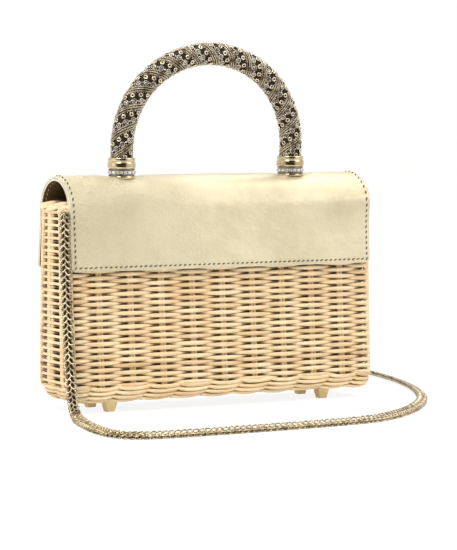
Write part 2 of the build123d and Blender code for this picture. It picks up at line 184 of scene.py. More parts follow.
# Chain, the route of its centre line from the left staple to the right one
CHAIN_PITCH = 0.00437
LINK_WIRE = 0.00056
LINK_HALF_LENGTH = 0.0027
LINK_HALF_WIDTH = 0.0015
LINK_TILT = math.radians(34)
COLUMN_OFFSET = 0.00150
LAYER_OFFSET = 0.00085
CHAIN_FACE = (-0.55, -0.83, 0.0)
LINK_BOW = 0.0004
# Half sizes of the dark band inside the chain, painted shade between the links
CHAIN_SHADE_HALF_WIDTH = 0.0021
CHAIN_SHADE_HALF_DEPTH = 0.0005
CHAIN_ROUTE = [
    (-0.12373, -0.02241, 0.13850),
    (-0.12445, -0.0255, 0.0840),
    (-0.12515, -0.0315, 0.0420),
    (-0.12685, -0.0395, 0.0110),
    (-0.13055, -0.0530, 0.0023),
    (-0.13955, -0.0790, 0.0023),
    (-0.1480, -0.1160, 0.0023),
    (-0.1505, -0.1490, 0.0023),
    (-0.1360, -0.1635, 0.0023),
    (-0.1060, -0.1652, 0.0023),
    (-0.0500, -0.1656, 0.0023),
    (0.0050, -0.1636, 0.0023),
    (0.0430, -0.1596, 0.0023),
    (0.0780, -0.1385, 0.0023),
    (0.1120, -0.1060, 0.0023),
    (0.1410, -0.0670, 0.0023),
    (0.1660, -0.0190, 0.0023),
    (0.1860, 0.0330, 0.0023),
    (0.1995, 0.0880, 0.0023),
    (0.2030, 0.1220, 0.0023),
    (0.1910, 0.1460, 0.0023),
    (0.1660, 0.1500, 0.0023),
    (0.1470, 0.1300, 0.0023),
    (0.13725, 0.0960, 0.0023),
    (0.13175, 0.0660, 0.0023),
    (0.12845, 0.0440, 0.0042),
    (0.12645, 0.0320, 0.0180),
    (0.12515, 0.0270, 0.0460),
    (0.12445, 0.0238, 0.0880),
    (0.12373, 0.02241, 0.13850),
]

# Camera
CAMERA_PLACE = Vector((-0.893, -1.628, 0.2145))
CAMERA_TARGET = Vector((0.0173, 0.0, 0.0910))
CAMERA_LENS = 170.0

# Ground under the basket, and how far it glows by itself to the camera
FLOOR_FRONT = 0.95
FLOOR_REACH = 6.0
FLOOR_GLOW = 1.08
FLOOR_GLOW_SHARE = 0.58
FLOOR_GLOW_LEAST = 0.22

# Lights: name, place, size, power, colour
LIGHT_TARGET = (0, 0, 0.1)
WHITE = (1.0, 1.0, 1.0)
LIGHTS = [
    ("key", (-1.3, -0.9, 1.3), (1.0, 1.0), 22.0, (1.0, 0.985, 0.96)),
    ("fill", (1.2, -1.4, 0.9), (1.2, 1.2), 8.0, WHITE),
    ("top", (0.0, 0.2, 1.6), (1.4, 0.8), 9.0, WHITE),
    ("roll", (0.9, 0.1, 1.6), (2.4, 1.0), 10.5, WHITE),
    ("left", (-1.6, 0.2, 0.5), (0.8, 0.8), 0.9, WHITE),
]


def half_depth(z):
    """Half the basket's outside depth at height z."""
    return BASE_HALF_DEPTH - (z - BASE_LEVEL) * math.tan(DRAFT)


def corner_radius(z):
    """Outside corner radius of the basket at height z, tighter towards the top."""
    share = (z - BASE_LEVEL) / (WALL_TOP_Z - BASE_LEVEL)
    return BASE_CORNER_RADIUS + share * (TOP_CORNER_RADIUS - BASE_CORNER_RADIUS)


def add_object(name, data):
    """Put an object in the scene."""
    thing = bpy.data.objects.new(name, data)
    bpy.context.scene.collection.objects.link(thing)
    return thing


def aim(thing, place, target):
    """Place a camera or a light and turn it to its target."""
    thing.location = place
    thing.rotation_mode = "QUATERNION"
    thing.rotation_quaternion = (Vector(target) - Vector(place)).to_track_quat("-Z", "Y")


class Pieces:
    """Gathers many small surfaces into one mesh, with a tone for each vertex."""

    def __init__(self):
        self.vertices = []
        self.faces = []
        self.tones = []
        self.count = 0

    def add(self, vertices, faces, tone=0.5):
        """Add vertices (n, 3) and faces, with one tone or one for each vertex."""
        vertices = np.asarray(vertices, float).reshape(-1, 3)
        self.vertices.append(vertices)
        self.tones.append(np.broadcast_to(tone, len(vertices)).astype(np.float32))
        self.faces.extend(tuple(int(i) + self.count for i in face) for face in faces)
        self.count += len(vertices)

    def build(self, name, material, smooth=True):
        """Make the object."""
        mesh = bpy.data.meshes.new(name)
        mesh.from_pydata(np.concatenate(self.vertices).tolist(), [], self.faces)
        tone = mesh.attributes.new("tone", "FLOAT", "POINT")
        tone.data.foreach_set("value", np.concatenate(self.tones))
        if smooth:
            mesh.shade_smooth()
        mesh.materials.append(material)
        return add_object(name, mesh)


def grid_faces(rows, columns, closed_rows=False, closed_columns=False):
    """Quads of a grid of vertices, row after row."""
    faces = []
    for i in range(rows if closed_rows else rows - 1):
        for j in range(columns if closed_columns else columns - 1):
            k = (j + 1) % columns
            m = (i + 1) % rows
            faces.append((i * columns + j, i * columns + k, m * columns + k, m * columns + j))
    return faces


def unit(vectors):
    """Vectors at length one."""
    return vectors / np.maximum(np.linalg.norm(vectors, axis=-1, keepdims=True), 1e-12)


def tube(points, across, up, half_across, half_up, sides, closed=False):
    """Vertices and faces of a tube whose section is an ellipse across and up."""
    points = np.asarray(points, float)
    count = len(points)
    turn = np.linspace(0, 2 * math.pi, sides, endpoint=False)
    half_across = np.broadcast_to(half_across, count)[:, None, None]
    half_up = np.broadcast_to(half_up, count)[:, None, None]
    ring = points[:, None, :]
    ring = ring + np.cos(turn)[None, :, None] * half_across * across[:, None, :]
    ring = ring + np.sin(turn)[None, :, None] * half_up * up[:, None, :]
    faces = grid_faces(count, sides, closed, True)
    if not closed:
        faces.append(tuple(range(sides))[::-1])
        faces.append(tuple(range((count - 1) * sides, count * sides)))
    return ring.reshape(-1, 3), faces


def round_tube(points, radius, sides, closed=False, hint=(0.0, 0.0, 1.0)):
    """A round tube along points."""
    points = np.asarray(points, float)
    if closed:
        along = unit(np.roll(points, -1, 0) - np.roll(points, 1, 0))
    else:
        along = unit(np.gradient(points, axis=0))
    across = unit(np.cross(along, np.asarray(hint, float)))
    up = np.cross(across, along)
    return tube(points, across, up, radius, radius, sides, closed)


def upright(line):
    """The upward direction at every place of a line."""
    return np.tile([0.0, 0.0, 1.0], (len(line), 1))


# Materials


def add_node(tree, kind, **values):
    """Add a shader node, with its properties set."""
    node = tree.nodes.new(kind)
    for name, value in values.items():
        setattr(node, name, value)
    return node


def new_material(name, color, roughness, metallic=0.0):
    """A material with one Principled shader."""
    material = bpy.data.materials.new(name)
    material.use_nodes = True
    shader = material.node_tree.nodes["Principled BSDF"]
    shader.inputs["Base Color"].default_value = (*color, 1.0)
    shader.inputs["Roughness"].default_value = roughness
    shader.inputs["Metallic"].default_value = metallic
    return material, material.node_tree, shader


def object_noise(tree, scale, stretch=(1.0, 1.0, 1.0), detail=4.0, roughness=0.55):
    """Noise in the object's own space, stretched along an axis by a small factor."""
    place = add_node(tree, "ShaderNodeTexCoord")
    mapping = add_node(tree, "ShaderNodeMapping")
    mapping.inputs["Scale"].default_value = stretch
    field = add_node(tree, "ShaderNodeTexNoise")
    field.inputs["Scale"].default_value = scale
    field.inputs["Detail"].default_value = detail
    field.inputs["Roughness"].default_value = roughness
    tree.links.new(place.outputs["Object"], mapping.inputs["Vector"])
    tree.links.new(mapping.outputs["Vector"], field.inputs["Vector"])
    return field.outputs["Fac"]


def ramp(tree, value, stops):
    """Colour ramp over a value, from (place, colour) stops."""
    node = add_node(tree, "ShaderNodeValToRGB")
    elements = node.color_ramp.elements
    while len(elements) < len(stops):
        elements.new(0.5)
    for element, (place, color) in zip(elements, stops):
        element.position = place
        element.color = (*color, 1.0)
    tree.links.new(value, node.inputs["Fac"])
    return node.outputs["Color"]


def mixed(tree, first, second, factor, mode="MIX"):
    """Blend of two colours, each a socket or a colour."""
    node = add_node(tree, "ShaderNodeMix", data_type="RGBA", blend_type=mode)
    for value, socket in ((first, node.inputs[6]), (second, node.inputs[7])):
        if isinstance(value, tuple):
            socket.default_value = (*value, 1.0)
        else:
            tree.links.new(value, socket)
    if isinstance(factor, float):
        node.inputs[0].default_value = factor
    else:
        tree.links.new(factor, node.inputs[0])
    return node.outputs[2]


def tone_value(tree):
    """The tone of each vertex."""
    return add_node(tree, "ShaderNodeAttribute", attribute_name="tone").outputs["Fac"]


def bumped(tree, shader, heights):
    """Bump the shader by one or more (height, strength, distance)."""
    last = None
    for height, strength, distance in heights:
        bump = add_node(tree, "ShaderNodeBump")
        bump.inputs["Strength"].default_value = strength
        bump.inputs["Distance"].default_value = distance
        tree.links.new(height, bump.inputs["Height"])
        if last is not None:
            tree.links.new(last, bump.inputs["Normal"])
        last = bump.outputs["Normal"]
    tree.links.new(last, shader.inputs["Normal"])


def cane_material(name, pale, tan):
    """Split cane: pale to tan from strand to strand, dark at the lowest tones as painted shade, with fine
    streaks along it.
    """
    material, tree, shader = new_material(name, pale, 0.48)
    # The darkest stop is painted shade: low tones mark recesses and covered strand ends, not the cane's own
    # colour.
    dark = tuple(c * 0.22 for c in tan)
    bright = tuple(min(1.0, c * 1.08) for c in pale)
    by_strand = ramp(tree, tone_value(tree), [(0.0, dark), (0.25, tan), (0.60, pale), (1.0, bright)])
    streak = ramp(
        tree,
        object_noise(tree, 90.0, (1.0, 1.0, 12.0)),
        [(0.30, (0.80, 0.72, 0.60)), (0.62, (1.0, 1.0, 1.0))],
    )
    blotch = ramp(
        tree, object_noise(tree, 55.0, detail=2.0), [(0.35, (0.93, 0.86, 0.76)), (0.65, (1.0, 1.0, 1.0))]
    )
    color = mixed(tree, by_strand, streak, 0.8, "MULTIPLY")
    color = mixed(tree, color, blotch, 1.0, "MULTIPLY")
    tree.links.new(color, shader.inputs["Base Color"])
    shader.inputs["Coat Weight"].default_value = 0.12
    shader.inputs["Coat Roughness"].default_value = 0.35
    bumped(tree, shader, [(object_noise(tree, 160.0, (1.0, 1.0, 9.0)), 0.35, 0.0003)])
    return material


def leather_material():
    """Champagne metallic leather with a fine crumple."""
    material, tree, shader = new_material("champagne_leather", (0.80, 0.70, 0.47), 0.40, 0.62)
    shade = ramp(
        tree,
        object_noise(tree, 30.0, detail=3.0),
        [(0.30, (0.57, 0.50, 0.33)), (0.55, (0.66, 0.585, 0.40)), (0.80, (0.71, 0.64, 0.46))],
    )
    tree.links.new(shade, shader.inputs["Base Color"])
    gloss = ramp(tree, object_noise(tree, 220.0), [(0.3, (0.34,) * 3), (0.7, (0.48,) * 3)])
    tree.links.new(gloss, shader.inputs["Roughness"])
    place = add_node(tree, "ShaderNodeTexCoord")
    axes = add_node(tree, "ShaderNodeSeparateXYZ")
    fade = add_node(tree, "ShaderNodeMapRange")
    for name, value in (("From Min", -0.10), ("From Max", 0.0), ("To Min", 1.0), ("To Max", 0.0)):
        fade.inputs[name].default_value = value
    crumple = add_node(tree, "ShaderNodeMath", operation="MULTIPLY")
    tree.links.new(place.outputs["Object"], axes.inputs["Vector"])
    tree.links.new(axes.outputs["X"], fade.inputs["Value"])
    tree.links.new(fade.outputs["Result"], crumple.inputs[0])
    tree.links.new(object_noise(tree, 520.0, detail=5.0, roughness=0.7), crumple.inputs[1])
    bumped(
        tree,
        shader,
        [
            (crumple.outputs[0], 0.9, 0.0018),
            (object_noise(tree, 420.0, detail=6.0, roughness=0.62), 0.35, 0.0004),
            (object_noise(tree, 120.0, (1.0, 1.0, 1.6), detail=3.0), 0.30, 0.0008),
        ],
    )
    return material


def plain_material(name, color, roughness, grain=500.0, strength=0.15, metallic=0.0):
    """A material with slight mottling and a fine grain."""
    material, tree, shader = new_material(name, color, roughness, metallic)
    low = tuple(c * 0.86 for c in color)
    high = tuple(min(1.0, c * 1.10) for c in color)
    shade = ramp(tree, object_noise(tree, 70.0), [(0.32, low), (0.68, high)])
    tree.links.new(shade, shader.inputs["Base Color"])
    bumped(tree, shader, [(object_noise(tree, grain), strength, 0.0003)])
    return material


def metal_material(name, color, dark, roughness, wear=60.0):
    """Plated metal, a little darker in patches."""
    material, tree, shader = new_material(name, color, roughness, 1.0)
    shade = ramp(tree, object_noise(tree, wear, detail=5.0), [(0.36, dark), (0.56, color)])
    tree.links.new(shade, shader.inputs["Base Color"])
    gloss = ramp(
        tree, object_noise(tree, 3 * wear), [(0.3, (roughness * 0.8,) * 3), (0.7, (roughness * 1.5,) * 3)]
    )
    tree.links.new(gloss, shader.inputs["Roughness"])
    bumped(tree, shader, [(object_noise(tree, 9 * wear), 0.08, 0.0002)])
    return material


cane = cane_material("cane", (0.88, 0.73, 0.48), (0.74, 0.54, 0.31))
cane_stake = cane_material("cane_stake", (0.86, 0.71, 0.47), (0.60, 0.41, 0.22))
leather = leather_material()
leather_edge = plain_material("leather_edge", (0.78, 0.70, 0.55), 0.6)
edge_paint = plain_material("edge_paint", (0.50, 0.46, 0.38), 0.55)
dark_leather = plain_material("dark_leather", (0.125, 0.072, 0.030), 0.50)
thread = plain_material("thread", (0.105, 0.090, 0.050), 0.7)
pale_thread = plain_material("pale_thread", (0.42, 0.36, 0.24), 0.7)
lining_cloth = plain_material("lining_cloth", (0.035, 0.020, 0.013), 0.85, 900.0, 0.4)
board = plain_material("board", (0.20, 0.16, 0.12), 0.8)
gold = metal_material("pale_gold", (0.72, 0.60, 0.37), (0.52, 0.41, 0.23), 0.08)
foot_gold = plain_material("foot_gold", (1.0, 0.76, 0.40), 0.40, 900.0, 0.05, 0.0)
silver = metal_material("aged_silver", (0.62, 0.57, 0.48), (0.26, 0.23, 0.18), 0.22, 300.0)
dark_silver = metal_material("dark_silver", (0.34, 0.30, 0.25), (0.12, 0.10, 0.08), 0.30, 300.0)
old_brass = metal_material("old_brass", (0.60, 0.53, 0.41), (0.22, 0.17, 0.11), 0.24, 220.0)
bead_gold = metal_material("bead_gold", (0.78, 0.68, 0.49), (0.42, 0.34, 0.22), 0.20, 300.0)
sleeve_dark = plain_material("sleeve_dark", (0.030, 0.022, 0.014), 0.5)
chain_metal = metal_material("chain_metal", (0.60, 0.50, 0.33), (0.24, 0.18, 0.10), 0.20, 250.0)
dark_stone = metal_material("dark_stone", (0.36, 0.34, 0.31), (0.12, 0.11, 0.10), 0.12, 300.0)
steel = metal_material("steel", (0.60, 0.60, 0.61), (0.42, 0.42, 0.43), 0.3)
crystal = new_material("cut_crystal", (0.96, 0.94, 0.94), 0.05, 0.65)[0]
sleeve_dark.node_tree.nodes["Principled BSDF"].inputs["Specular IOR Level"].default_value = 0.1


def finish_nodes(material, *names):
    """Give CAD nodes a material."""
    for name in names:
        mesh = nodes[name].data
        mesh.materials.clear()
        mesh.materials.append(material)


finish_nodes(lining_cloth, "lining")
finish_nodes(board, "base_board", "flap_board", "back_board")
finish_nodes(dark_leather, "flap_inner_leather", "back_inner_leather")
finish_nodes(foot_gold, "foot_front_left", "foot_front_right", "foot_back_left", "foot_back_right")
finish_nodes(dark_silver, "crystal_setting_left", "crystal_setting_right")
finish_nodes(crystal, "crystals_left", "crystals_right")
finish_nodes(steel, "foot_screws", "handle_screws", "handle_core", "flap_magnet", "wall_magnet")
finish_nodes(steel, "backing_plate_left", "backing_plate_right")
finish_nodes(chain_metal, "strap_staple_left", "strap_staple_right", "chain_strap")
finish_nodes(leather, "flap_outer_leather", "back_outer_leather")
finish_nodes(cane, "woven_walls", "woven_floor", "foot_border", "rim_border")
finish_nodes(sleeve_dark, "handle_wrap")


# Camera, floor and light


def make_camera():
    """The photograph's view."""
    data = bpy.data.cameras.new("camera")
    data.lens = CAMERA_LENS
    data.clip_start = 0.05
    data.clip_end = 20.0
    camera = add_object("camera", data)
    aim(camera, CAMERA_PLACE, CAMERA_TARGET)
    bpy.context.scene.camera = camera


def floor_material():
    """Pale floor that shows white to the camera and keeps the shadow."""
    material, tree, shader = new_material("floor", (0.90, 0.895, 0.88), 0.9)
    output = tree.nodes["Material Output"]
    path = add_node(tree, "ShaderNodeLightPath")
    glow = add_node(tree, "ShaderNodeEmission")
    glow.inputs["Strength"].default_value = FLOOR_GLOW
    mix = add_node(tree, "ShaderNodeMixShader")
    share = add_node(tree, "ShaderNodeMath", operation="MULTIPLY_ADD")
    share.inputs[1].default_value = FLOOR_GLOW_SHARE
    share.inputs[2].default_value = FLOOR_GLOW_LEAST
    tree.links.new(path.outputs["Is Camera Ray"], share.inputs[0])
    tree.links.new(share.outputs[0], mix.inputs[0])
    tree.links.new(shader.outputs[0], mix.inputs[1])
    tree.links.new(glow.outputs[0], mix.inputs[2])
    tree.links.new(mix.outputs[0], output.inputs["Surface"])
    return material


def make_floor():
    """A large plain floor at the feet."""
    mesh = bpy.data.meshes.new("floor")
    reach = FLOOR_REACH
    corners = [(-reach, -FLOOR_FRONT, 0), (reach, -FLOOR_FRONT, 0), (reach, reach, 0), (-reach, reach, 0)]
    mesh.from_pydata(corners, [], [(0, 1, 2, 3)])
    mesh.materials.append(floor_material())
    floor = add_object("floor", mesh)


def area_light(name, place, size, power, color):
    """A soft box."""
    data = bpy.data.lights.new(name, "AREA")
    data.shape = "RECTANGLE"
    data.size = size[0]
    data.size_y = size[1]
    data.energy = power
    data.color = color
    aim(add_object(name, data), place, LIGHT_TARGET)


def make_world():
    """White studio with a darker stretch on the camera's side, for the metal to show."""
    world = bpy.data.worlds.new("studio")
    bpy.context.scene.world = world
    world.use_nodes = True
    tree = world.node_tree
    background = tree.nodes["Background"]
    path = add_node(tree, "ShaderNodeLightPath")
    place = add_node(tree, "ShaderNodeTexCoord")
    toward = (CAMERA_PLACE - CAMERA_TARGET).normalized()
    dot = add_node(tree, "ShaderNodeVectorMath", operation="DOT_PRODUCT")
    dot.inputs[1].default_value = toward
    tree.links.new(place.outputs["Generated"], dot.inputs[0])
    stops = [(0.0, (0.86, 0.86, 0.86)), (0.66, (0.66, 0.65, 0.64)), (0.84, (0.05, 0.04, 0.03))]
    studio = ramp(tree, dot.outputs["Value"], stops)
    color = mixed(tree, studio, (1.0, 1.0, 1.0), path.outputs["Is Camera Ray"])
    tree.links.new(color, background.inputs["Color"])


bpy.context.scene.view_settings.view_transform = "Standard"
make_camera()
make_floor()
make_world()
for light in LIGHTS:
    area_light(*light)


# Chain


def chain_line():
    """Points along the route's NURBS, evenly spaced."""
    curve = bpy.data.curves.new("chain_line", "CURVE")
    curve.dimensions = "3D"
    curve.resolution_u = 24
    spline = curve.splines.new("NURBS")
    spline.points.add(len(CHAIN_ROUTE) - 1)
    for point, place in zip(spline.points, CHAIN_ROUTE):
        point.co = (*place, 1.0)
    spline.order_u = 3
    spline.use_endpoint_u = True
    holder = add_object("chain_line", curve)
    bpy.context.view_layer.update()
    mesh = bpy.data.meshes.new_from_object(holder)
    points = np.array([vertex.co for vertex in mesh.vertices])
    bpy.data.objects.remove(holder)
    bpy.data.meshes.remove(mesh)
    return points


def evenly(points, step):
    """Resample a line at about that step."""
    lengths = np.concatenate([[0], np.cumsum(np.linalg.norm(np.diff(points, axis=0), axis=1))])
    count = max(2, round(lengths[-1] / step) + 1)
    places = np.linspace(0, lengths[-1], count)
    return np.stack([np.interp(places, lengths, points[:, axis]) for axis in range(3)], axis=1), lengths[-1]


def chain_links():
    """Flat chain: on each face two columns of slanted oval links that point along it like a plait, with a
    dark band of painted shade between the two faces.
    """
    line, length = evenly(chain_line(), CHAIN_PITCH / 2)
    pieces = Pieces()
    along = unit(np.gradient(line, axis=0))
    face = np.array(CHAIN_FACE)
    turn = np.linspace(0, 2 * math.pi, 12, endpoint=False)
    widths = []
    for index, (place, direction) in enumerate(zip(line, along)):
        face = unit(face - direction * np.dot(face, direction))
        width = np.cross(direction, face)
        widths.append(width)
        for layer in (-1, 1):
            column = layer if index % 2 else -layer
            centre = place + layer * LAYER_OFFSET * face + column * COLUMN_OFFSET * width
            long_way = math.cos(LINK_TILT) * direction + column * math.sin(LINK_TILT) * width
            short_way = math.cos(LINK_TILT) * width - column * math.sin(LINK_TILT) * direction
            loop = centre + np.outer(np.cos(turn) * LINK_HALF_LENGTH, long_way)
            loop = loop + np.outer(np.sin(turn) * LINK_HALF_WIDTH, short_way)
            loop = loop + np.outer(np.cos(turn) * LINK_BOW, face)
            vertices, faces = round_tube(loop, LINK_WIRE, 6, True, face)
            pieces.add(vertices, faces, random.random())
    widths = np.array(widths)
    # A dark flat band between the two faces of links: painted shade, so the gaps in the chain read dark.
    core = Pieces()
    faces_out = np.cross(widths, along)
    core.add(*tube(line, widths, faces_out, CHAIN_SHADE_HALF_WIDTH, CHAIN_SHADE_HALF_DEPTH, 8))
    inside = core.build("chain_painted_shade", sleeve_dark)
    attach(inside, "basket")
    chain = pieces.build("chain_links", chain_metal)
    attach(chain, "basket")
    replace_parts(chain, "chain_strap")


chain_links()


# Basket


def settled_outline(place, z):
    """The outline as the basket has settled: left end tucked in at the foot, right front corner fuller."""
    share = min(max((TUCK_TOP_Z - z) / TUCK_REACH, 0.0), 1.0)
    left = np.clip((-place[:, 0] - TUCK_FROM_X) / (HALF_WIDTH - TUCK_FROM_X), 0, 1)
    right = np.clip((place[:, 0] - FULL_FROM_X) / (HALF_WIDTH - FULL_FROM_X), 0, 1)
    front = np.clip(-place[:, 1] / 0.01, 0, 1)
    place[:, 0] += TUCK * share**2 * left + CORNER_FULLNESS * right * front
    return place


def rounded_outline(z, inset, step, wider=0.0):
    """One turn of the basket's outline, inset at height z: places, outward normals and distances along it.

    The corners may be wider than the walls' own.
    """
    half_x = HALF_WIDTH - inset
    half_y = half_depth(z) - inset
    radius = max(corner_radius(z) - inset, 0.0015) + wider
    flat_x = half_x - radius
    flat_y = half_y - radius
    quarter = radius * math.pi / 2
    runs = [flat_x, quarter, 2 * flat_y, quarter, 2 * flat_x, quarter, 2 * flat_y, quarter, flat_x]
    marks = np.concatenate([[0], np.cumsum(runs)])
    count = round(marks[-1] / step)
    distance = np.linspace(0, marks[-1], count, endpoint=False)
    place = np.zeros((count, 3))
    normal = np.zeros((count, 3))
    corners = {1: (1, -1, -90), 3: (1, 1, 0), 5: (-1, 1, 90), 7: (-1, -1, 180)}
    straights = {
        0: ((0, -half_y), (1, 0), (0, -1)),
        2: ((half_x, -flat_y), (0, 1), (1, 0)),
        4: ((flat_x, half_y), (-1, 0), (0, 1)),
        6: ((-half_x, flat_y), (0, -1), (-1, 0)),
        8: ((-flat_x, -half_y), (1, 0), (0, -1)),
    }
    for run in range(9):
        inside = (distance >= marks[run]) & (distance < marks[run + 1])
        along = distance[inside] - marks[run]
        if run in straights:
            start, direction, outward = straights[run]
            place[inside, 0] = start[0] + along * direction[0]
            place[inside, 1] = start[1] + along * direction[1]
            normal[inside, :2] = outward
        else:
            side, depth, first = corners[run]
            angle = np.radians(first) + along / radius
            normal[inside, 0] = np.cos(angle)
            normal[inside, 1] = np.sin(angle)
            place[inside, 0] = side * flat_x + radius * np.cos(angle)
            place[inside, 1] = depth * flat_y + radius * np.sin(angle)
    place[:, 2] = z
    return settled_outline(place, z), normal, distance, marks


def stake_marks(marks):
    """Distances along one turn of each stake group, with its half width and its kind."""
    pair = 2 * STAKE_RADIUS
    half_widths = {"side": 2 * SIDE_STAKE_RADIUS, "sink": 0.0005, "turn": 0.0005, "rise": 0.0005}
    half = (marks[3] - marks[2]) / 2
    front = [(k * STAKE_PITCH, pair, "pair") for k in range(FRONT_STAKES + 1)]
    right = [(marks[2] + half * (1 + share), half_widths[kind], kind) for share, kind in SIDE_PLACES]
    left = [(marks[7] - half * (1 + share), half_widths[kind], kind) for share, kind in reversed(SIDE_PLACES)]
    posts = [((marks[k] + marks[k + 1]) / 2, pair, "post") for k in (1, 3, 5, 7)]
    back_middle = (marks[4] + marks[5]) / 2
    back = [(back_middle + k * STAKE_PITCH, pair, "pair") for k in range(-FRONT_STAKES, FRONT_STAKES + 1)]
    last = [(marks[9] + k * STAKE_PITCH, pair, "pair") for k in range(-FRONT_STAKES, 0)]
    return front + posts[:1] + right + posts[1:2] + back + posts[2:3] + left + posts[3:] + last


def weave_wave(distance, groups, length, parity):
    """1 outside the stakes, -1 inside. Rows alternate at pairs and posts; on the ends one row in two dips."""
    knots = []
    phases = []
    value = parity
    phase = 0.0 if parity > 0 else math.pi
    previous = "pair"
    corner = value
    for index, (place, half_width, kind) in enumerate(groups + [(length, groups[0][1], "pair")]):
        if (kind == "sink" and corner < 0) or (kind == "rise" and corner > 0):
            continue
        if kind == "post" and previous not in ("pair", "post"):
            wanted = corner
        elif kind in ("pair", "post"):
            wanted = parity if index == 0 else -corner
        elif kind in ("side", "sink") and corner > 0:
            wanted = -1
        else:
            wanted = 1
        if wanted != value:
            phase += math.pi
            value = wanted
        if kind in ("pair", "post"):
            corner = value
        reach = half_width * (0.5 if kind in ("pair", "post") else 1.0)
        for sign in (-1, 1):
            knots.append(place + sign * reach)
            phases.append(phase)
        previous = kind
    return np.cos(np.interp(distance, knots, phases))


def on_ends(distance, marks):
    """1 on the end walls, 0 on the front and back, with short changes at the corners."""
    share = np.zeros_like(distance)
    for first, last in ((1, 4), (5, 8)):
        span = np.minimum(distance - marks[first], marks[last] - distance)
        share = np.maximum(share, np.clip(span / 0.003, 0, 1))
    return share


def end_dips(distance, marks, groups, parity):
    """1 on the end walls where this row is the one that dips behind the stakes."""
    dips = np.zeros_like(distance)
    for first, last in ((1, 4), (5, 8)):
        sides = [group[0] for group in groups if group[2] == "side" and marks[first] < group[0] < marks[last]]
        if weave_wave(np.array(sides[:1]), groups, marks[-1], parity)[0] < 0:
            dips[(distance >= marks[first]) & (distance <= marks[last])] = 1.0
    return dips


def drift(seed, distance, length, scale, amount):
    """Slow smooth change round a closed row."""
    turn = 2 * math.pi * distance / length
    total = np.zeros_like(distance)
    for wave in (1, 2, 3, 5):
        height = math.sin(seed * 12.9 + wave * 4.1)
        total = total + height * np.sin(wave * scale * turn + seed * 7.7 * wave) / wave
    return amount * total


def strand_tone():
    """A strand's own tone, from tan to pale."""
    return min(max(random.gauss(0.62, 0.15), 0.25), 1.0)


def weave_row(pieces, z, parity, seed):
    """One turn of cane through the stakes."""
    place, normal, distance, marks = rounded_outline(z, STAKE_DEPTH, 0.0019)
    length = marks[-1]
    groups = stake_marks(marks)
    wave = weave_wave(distance, groups, length, parity)
    ends = on_ends(distance, marks)
    beside = weave_wave(distance, groups, length, -parity)
    swell = np.clip(wave, 0, 1) * (1 - ends + 0.5 * ends * beside)
    size = 1 + 0.07 * (random.random() - 0.5)
    offset = WEAVE_AMPLITUDE * wave + drift(seed + 0.3, distance, length, 2, 0.00012)
    line = place + normal * offset[:, None]
    line[:, 2] += drift(seed, distance, length, 3, 0.00018)
    dips = ends * end_dips(distance, marks, groups, parity)
    # How far the row lies behind the stakes: it pinches the row and darkens its tone as painted shade of the
    # recess; rows that dip on the end walls darken as soon as they leave the surface.
    sunk_and_shaded = np.clip((-wave - 0.25) / 0.5, 0, 1) * (1 - dips) + np.clip((1 - wave) / 0.25, 0, 1) * dips
    half_height = (WEAVER_HALF_HEIGHT + WEAVER_SWELL * swell - WEAVER_PINCH * sunk_and_shaded) * size
    vertices, faces = tube(line, normal, upright(line), WEAVER_HALF_THICKNESS * size, half_height, 8, True)
    tone = strand_tone() + drift(seed + 0.7, distance, length, 2, 0.10)
    # Painted shade: the tone falls towards a tenth where the row is sunk.
    tone = tone * (1 - 0.9 * sunk_and_shaded)
    pieces.add(vertices, faces, np.repeat(tone, 8))


def weave_walls():
    """All rows of the four walls, in two pieces, with the stakes between them."""
    low = border_high.z - ROW_PITCH
    count = round((rim_low.z - low) / ROW_PITCH)
    halves = [Pieces(), Pieces()]
    for row in range(count):
        z = low + (row + 0.5) * ROW_PITCH
        weave_row(halves[0 if row < count / 2 else 1], z, 1 if row % 2 else -1, row * 0.37)
    lower = halves[0].build("weave_lower", cane)
    upper = halves[1].build("weave_upper", cane)
    stakes = Pieces()
    heights = np.linspace(border_high.z - 0.003, rim_low.z + 0.001, 40)
    for kind, depth, radius, canes, tone in STAKE_KINDS:
        samples = [rounded_outline(z, depth, 0.0004) for z in heights]
        marked = [[group[0] for group in stake_marks(sample[3]) if group[2] == kind] for sample in samples]
        for index in range(len(marked[0])):
            for number in range(canes):
                shift = (number - (canes - 1) / 2) * 2.03 * radius
                line = []
                for sample, middles in zip(samples, marked):
                    place, _, distance, marks = sample
                    line.append(place[np.argmin(np.abs(distance - (middles[index] + shift) % marks[-1]))])
                vertices, faces = round_tube(line, radius, 10, hint=(1.0, 0.3, 0.0))
                stakes.add(vertices, faces, tone + 0.08 * (random.random() - 0.5))
    posts = stakes.build("weave_stakes", cane_stake)
    for piece in (lower, upper, posts):
        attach(piece, "basket")
    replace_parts(upper, "woven_walls")


def laid_strand(pieces, outline, targets, proud, heights, half_deep, half_tall, sides, tone):
    """Add a strand laid along the outline at distances, standing proud of it at heights."""
    place, normal, distance, _ = outline
    picked = [np.argmin(np.abs(distance - target)) for target in targets]
    outward = normal[picked]
    line = place[picked] + outward * proud[:, None]
    line[:, 2] = heights
    vertices, faces = tube(line, outward, upright(line), half_deep, half_tall, sides)
    pieces.add(vertices, faces, np.repeat(tone, sides))


